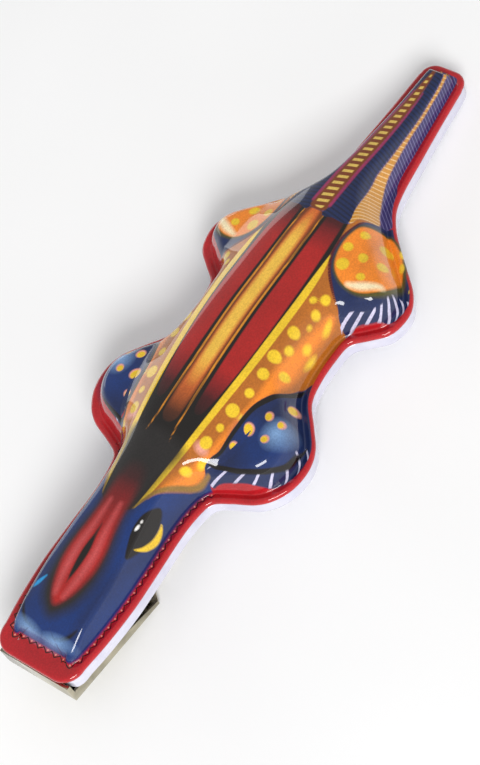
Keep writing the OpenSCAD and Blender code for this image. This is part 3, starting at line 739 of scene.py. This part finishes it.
def tray_piece(material):
    """The shallow tray: a wall with a drawn, rounded edge and a flat floor."""
    outline = rim_outline(TRAY_STEP)
    normal = inward(outline)
    stand = TRAY_INSET + LIP_ROOM * np.clip(1 - outline[:, 0] / NOSE_TAPER, 0, None)
    top = -BEAD_DROP - BEAD_R - BEAD_GAP

    def ring(distance, z, s=0.0):
        p = outline + normal * (stand + distance)[:, None]
        spine = np.c_[np.clip(p[:, 0], *SPINE), np.zeros(len(p))]
        return np.c_[p + (spine - p) * s, np.full(len(p), z)]

    arc = np.radians(np.linspace(0, 90, 7))
    rings = [ring(0, top), ring(0, top - 0.8)]
    rings += [ring(TRAY_ROUND * (1 - math.cos(a)), -TRAY_DROP + TRAY_ROUND * (1 - math.sin(a))) for a in arc]
    rings += [ring(TRAY_ROUND, -TRAY_DROP, s) for s in FLOOR_STEPS]
    rings[-1][:, 1] = 0
    under = len(rings) - 1
    rings += [ring(TRAY_ROUND, TRAY_T - TRAY_DROP, s) for s in FLOOR_STEPS[::-1]]
    rings[-4][:, 1] = 0
    inner = TRAY_ROUND - TRAY_T
    rings += [ring(TRAY_T + inner * (1 - math.cos(a)), -TRAY_DROP + TRAY_T + inner * (1 - math.sin(a)))
              for a in arc[::-2]]
    rings.append(ring(TRAY_T, top))
    tray = piece_from("tin_tray", np.vstack(rings), ring_faces(len(rings), len(outline), under),
                      weld=WELD, outward=True)
    tray.data.materials.append(material)
    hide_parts("base_tray")
    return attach(tray, "body")


STEEL_WELD = 0.003
FLAT_ANGLE = math.radians(3)
EDGE_ANGLE = math.radians(40)


def stamped_piece(node, name, body, edge_mm, material):
    """A stamped or turned steel piece: the frame's own solid with its edges broken."""
    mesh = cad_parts[node].data.copy()
    mesh.name = name
    b = bmesh.new()
    b.from_mesh(mesh)
    bmesh.ops.remove_doubles(b, verts=b.verts, dist=STEEL_WELD * MM)
    bmesh.ops.dissolve_limit(b, angle_limit=FLAT_ANGLE, verts=b.verts, edges=b.edges)
    b.to_mesh(mesh)
    b.free()
    piece = bpy.data.objects.new(name, mesh)
    bpy.context.scene.collection.objects.link(piece)
    mesh.materials.clear()
    mesh.materials.append(material)
    mesh.shade_smooth()
    bevel = piece.modifiers.new("broken_edges", "BEVEL")
    bevel.width = edge_mm * MM
    bevel.segments = 2
    bevel.limit_method = "ANGLE"
    bevel.angle_limit = EDGE_ANGLE
    bevel.harden_normals = True
    bevel.use_clamp_overlap = True
    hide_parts(node)
    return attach(piece, body)


def node_mesh(name, source, tree, inputs):
    """Runs a Geometry Nodes tree on a source object and keeps its plain mesh."""
    modifier = source.modifiers.new(name, "NODES")
    modifier.node_group = tree
    for socket in tree.interface.items_tree:
        if socket.in_out == "INPUT" and socket.name in inputs:
            modifier[socket.identifier] = inputs[socket.name]
    made = source.evaluated_get(bpy.context.evaluated_depsgraph_get())
    mesh = bpy.data.meshes.new_from_object(made)
    bpy.data.objects.remove(source)
    piece = bpy.data.objects.new(name, mesh)
    bpy.context.scene.collection.objects.link(piece)
    return piece


def new_tree(name, inputs):
    """An empty Geometry Nodes tree with one geometry in and out, and its named inputs."""
    tree = bpy.data.node_groups.new(name, "GeometryNodeTree")
    tree.interface.new_socket("Geometry", in_out="INPUT", socket_type="NodeSocketGeometry")
    tree.interface.new_socket("Geometry", in_out="OUTPUT", socket_type="NodeSocketGeometry")
    for socket_name, kind in inputs.items():
        tree.interface.new_socket(socket_name, in_out="INPUT", socket_type=kind)
    return tree, add(tree, "NodeGroupInput").node.outputs


def finish_tree(tree, geometry, material):
    """Ends a tree: real geometry with its material."""
    real = add(tree, "GeometryNodeRealizeInstances", {0: geometry})
    coated = add(tree, "GeometryNodeSetMaterial", {0: real, "Material": material})
    add(tree, "NodeGroupOutput", {0: coated})
    return tree


def wire_tree(material):
    """Sweeps a round wire along a curve."""
    tree, given = new_tree("round_wire", {"Wire radius": "NodeSocketFloat"})
    profile = add(tree, "GeometryNodeCurvePrimitiveCircle", {"Resolution": 12,
                                                             "Radius": given["Wire radius"]})
    swept = add(tree, "GeometryNodeCurveToMesh", {"Curve": given["Geometry"],
                                                  "Profile Curve": profile, "Fill Caps": True})
    return finish_tree(tree, swept, material)


WIRE_R = 0.3
COIL_R = 1.5
COIL_HALF = 1.8
COIL_TURNS = 4.5
LEG_END = 29.0
STEEL_T = 0.5
WIRE_GAP = 0.05
TURN_STEPS = 24
LEG_STEPS = 6


def spring_piece(material):
    """The torsion spring: a coil about the hinge pin whose two legs push the lever away."""
    low, high = -PIVOT_DROP - COIL_R, -PIVOT_DROP + COIL_R
    lever_top = (STEEL_T + WIRE_R + WIRE_GAP - TRAY_DROP
                 - (BODY_LEN - TRAY_INSET - LEG_END) * math.tan(TILT))
    plate_under = -TRAY_DROP - STEEL_T - WIRE_R - WIRE_GAP
    steps = int(COIL_TURNS * TURN_STEPS)
    shares = np.linspace(0, 1, LEG_STEPS + 1)
    points = [(LEG_END + (PIVOT_X - LEG_END) * t, -COIL_HALF, lever_top + (low - lever_top) * t)
              for t in shares[:-1]]
    for k in range(steps + 1):
        a = -math.pi / 2 - 2 * math.pi * COIL_TURNS * k / steps
        points.append((PIVOT_X + COIL_R * math.cos(a), -COIL_HALF + 2 * COIL_HALF * k / steps,
                       -PIVOT_DROP + COIL_R * math.sin(a)))
    points += [(PIVOT_X + (LEG_END - PIVOT_X) * t, COIL_HALF, high + (plate_under - high) * t)
               for t in shares[1:]]
    line = bpy.data.curves.new("spring_line", "CURVE")
    line.dimensions = "3D"
    path = line.splines.new("POLY")
    path.points.add(len(points) - 1)
    for point, p in zip(path.points, points):
        point.co = (*(LEVEL @ (Vector(p) * MM)), 1)
    source = bpy.data.objects.new("spring_line", line)
    bpy.context.scene.collection.objects.link(source)
    spring = node_mesh("torsion_spring", source, wire_tree(material), {"Wire radius": WIRE_R * MM})
    spring.data.shade_smooth()
    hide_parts("spring")
    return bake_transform(spring)


RIVET_SHANK_R = 1.1
RIVET_HEAD_R = 1.85
RIVET_GRIP = 0.9
HEAD_FLATNESS = 0.25


def rivet_tree(material):
    """Sets a shank and two low domed heads on every point."""
    tree, given = new_tree("domed_rivets", {"Shank radius": "NodeSocketFloat",
                                            "Head radius": "NodeSocketFloat",
                                            "Grip": "NodeSocketFloat", "Lean": "NodeSocketVector"})
    shank = add(tree, "GeometryNodeMeshCylinder", {"Vertices": 32, "Radius": given["Shank radius"],
                                                   "Depth": given["Grip"]})
    head = add(tree, "GeometryNodeMeshUVSphere", {"Segments": 32, "Rings": 16,
                                                  "Radius": given["Head radius"]})
    parts = [shank]
    for side in (0.5, -0.5):
        level = add(tree, "ShaderNodeMath", {0: given["Grip"], 1: side}, operation="MULTIPLY")
        place = add(tree, "ShaderNodeCombineXYZ", {2: level})
        parts.append(add(tree, "GeometryNodeTransform", {"Geometry": head, "Translation": place,
                                                         "Scale": (1, 1, HEAD_FLATNESS)}))
    joined = add(tree, "GeometryNodeJoinGeometry")
    for part in parts:
        tree.links.new(part, joined.node.inputs[0])
    set_out = add(tree, "GeometryNodeInstanceOnPoints", {
        "Points": given["Geometry"], "Instance": joined, "Rotation": given["Lean"]})
    return finish_tree(tree, set_out, material)


def rivet_piece(material):
    """The two rivets that hold the fixed jaw to the tray."""
    centres = [(Vector(low) + Vector(high)) / 2 for low, high in map(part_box, ("front_rivet", "rear_rivet"))]
    mesh = bpy.data.meshes.new("rivet_points")
    mesh.from_pydata(centres, [], [])
    source = bpy.data.objects.new("rivet_points", mesh)
    bpy.context.scene.collection.objects.link(source)
    rivets = node_mesh("clip_rivets", source, rivet_tree(material),
                       {"Shank radius": RIVET_SHANK_R * MM, "Head radius": RIVET_HEAD_R * MM,
                        "Grip": RIVET_GRIP * MM, "Lean": (0, TILT, 0)})
    rivets.data.shade_smooth()
    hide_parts("front_rivet", "rear_rivet")
    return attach(rivets, "body")


# ---------------------------------------------------------------- light and camera
def soft_light(name, place, size, power):
    """A softbox at place that faces the piece, in metres and watts."""
    light = bpy.data.lights.new(name, "AREA")
    light.shape = "RECTANGLE"
    light.size, light.size_y = size
    light.energy = power
    lamp = bpy.data.objects.new(name, light)
    lamp.matrix_world = (Matrix.Translation(place)
                         @ (-Vector(place)).to_track_quat("-Z", "Y").to_matrix().to_4x4())
    bpy.context.scene.collection.objects.link(lamp)


CAMERA_TURN = math.radians(241.2)
CAMERA_RISE = math.radians(55.6)
CAMERA_ROLL = math.radians(-30.57)
CAMERA_AWAY = 341.9
CAMERA_AIM = (50.67, -1.43, 0)
CAMERA_LENS = 111.67
SENSOR = 36
NEAREST_SEEN = 0.01
# The paper's half-width in metres, then the sky's strength at the horizon and overhead, and the
# height on the unit sphere at which it has fallen
PAPER_HALF = 3
HORIZON_LIGHT, TOP_LIGHT = 0.8, 0.5
HORIZON_REACH = 0.4


def set_camera():
    """A long lens over the animal's left shoulder, rolled so that the body runs up the frame."""
    back = Vector((math.cos(CAMERA_TURN) * math.cos(CAMERA_RISE),
                   math.sin(CAMERA_TURN) * math.cos(CAMERA_RISE), math.sin(CAMERA_RISE)))
    side = (-back).cross(Vector((0, 0, 1))).normalized()
    up = side.cross(-back)
    c, s = math.cos(CAMERA_ROLL), math.sin(CAMERA_ROLL)
    turn = Matrix((side * c + up * s, up * c - side * s, back)).transposed().to_4x4()
    place = Matrix.Translation((Vector(CAMERA_AIM) + back * CAMERA_AWAY) * MM)
    data = bpy.data.cameras.new("camera")
    data.lens = CAMERA_LENS
    data.sensor_width = SENSOR
    data.clip_start = NEAREST_SEEN
    camera = bpy.data.objects.new("camera", data)
    camera.matrix_world = LEVEL @ place @ turn
    bpy.context.scene.collection.objects.link(camera)
    bpy.context.scene.camera = camera


def set_studio():
    """White paper, a pale sky that is brightest at the horizon, and two softboxes."""
    floor_mesh = bpy.data.meshes.new("floor")
    corners = [(-PAPER_HALF, -PAPER_HALF, 0), (PAPER_HALF, -PAPER_HALF, 0),
               (PAPER_HALF, PAPER_HALF, 0), (-PAPER_HALF, PAPER_HALF, 0)]
    floor_mesh.from_pydata(corners, [], [(0, 1, 2, 3)])
    floor_mesh.materials.append(paper_backdrop())
    floor = bpy.data.objects.new("floor", floor_mesh)
    bpy.context.scene.collection.objects.link(floor)
    world = bpy.data.worlds.new("studio")
    world.use_nodes = True
    sky = world.node_tree
    toward = add(sky, "ShaderNodeTexCoord", out="Generated")
    rise = add(sky, "ShaderNodeSeparateXYZ", {0: toward}, 2)
    bright = add(sky, "ShaderNodeMapRange", {0: rise, 1: 0, 2: HORIZON_REACH, 3: HORIZON_LIGHT,
                                             4: TOP_LIGHT})
    sky.nodes["Background"].inputs[0].default_value = (1, 1, 1, 1)
    sky.links.new(bright, sky.nodes["Background"].inputs[1])
    bpy.context.scene.world = world
    bpy.context.scene.view_settings.view_transform = "Standard"
    soft_light("left_softbox", (0.15, 0.62, 0.14), (0.5, 0.24), 0.7)
    soft_light("front_softbox", (-0.5, -0.7, 0.68), (0.5, 0.36), 9.5)


# ---------------------------------------------------------------- assembly
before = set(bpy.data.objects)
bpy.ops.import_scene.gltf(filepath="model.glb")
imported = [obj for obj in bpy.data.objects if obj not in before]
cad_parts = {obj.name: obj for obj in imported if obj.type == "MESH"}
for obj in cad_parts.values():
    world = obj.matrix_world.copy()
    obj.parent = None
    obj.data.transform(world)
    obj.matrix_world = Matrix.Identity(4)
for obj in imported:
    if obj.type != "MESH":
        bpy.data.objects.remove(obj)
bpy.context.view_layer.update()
set_camera()
set_studio()

tin_shell = shell_piece()
paint_shell(tin_shell)
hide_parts("printed_shell")
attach(tin_shell, "body")

# White stoved lacquer over tin: smooth, faintly mottled and very glossy. Its white is dulled to a lavender
# grey, which is painted shade of the wall under the rim
white_lacquer_painted_shade = plain_finish("white_stoved_lacquer_painted_shade", "#D2D1E0", "#C4C3D6", 0.0, 0.22, 1.2,
                             (1, 1, 1), 0.004, coat=0.6)
# Nickel plate over rolled steel: bright and slightly warm, with fine drawing lines along the strip
nickel = plain_finish("nickel_plated_steel", "#C2BBA4", "#98927F", 1.0, 0.15, 0.35, (0.12, 1, 1), 0.004)
# Turned and peened steel pin, duller than the plate
pin_steel = plain_finish("turned_steel_pin", "#9D9B97", "#84827F", 1.0, 0.34, 0.3, (1, 0.2, 1), 0.005)
# Drawn spring wire, dark and satin
wire_steel = plain_finish("drawn_spring_wire", "#77767A", "#5E5D61", 1.0, 0.36, 0.25, (1, 1, 1), 0.004)
# Zinc-plated rivets, pale and a little cloudy
rivet_steel = plain_finish("zinc_plated_rivet", "#B9B8B2", "#9E9D98", 1.0, 0.3, 0.5, (1, 1, 1), 0.006)

tray_piece(white_lacquer_painted_shade)
stamped_piece("lower_jaw", "steel_jaw", "jaw", 0.22, nickel)
stamped_piece("clip_plate", "toothed_plate", "body", 0.08, nickel)
stamped_piece("hinge_pin", "steel_pin", "body", 0.1, pin_steel)
spring_piece(wire_steel)
rivet_piece(rivet_steel)
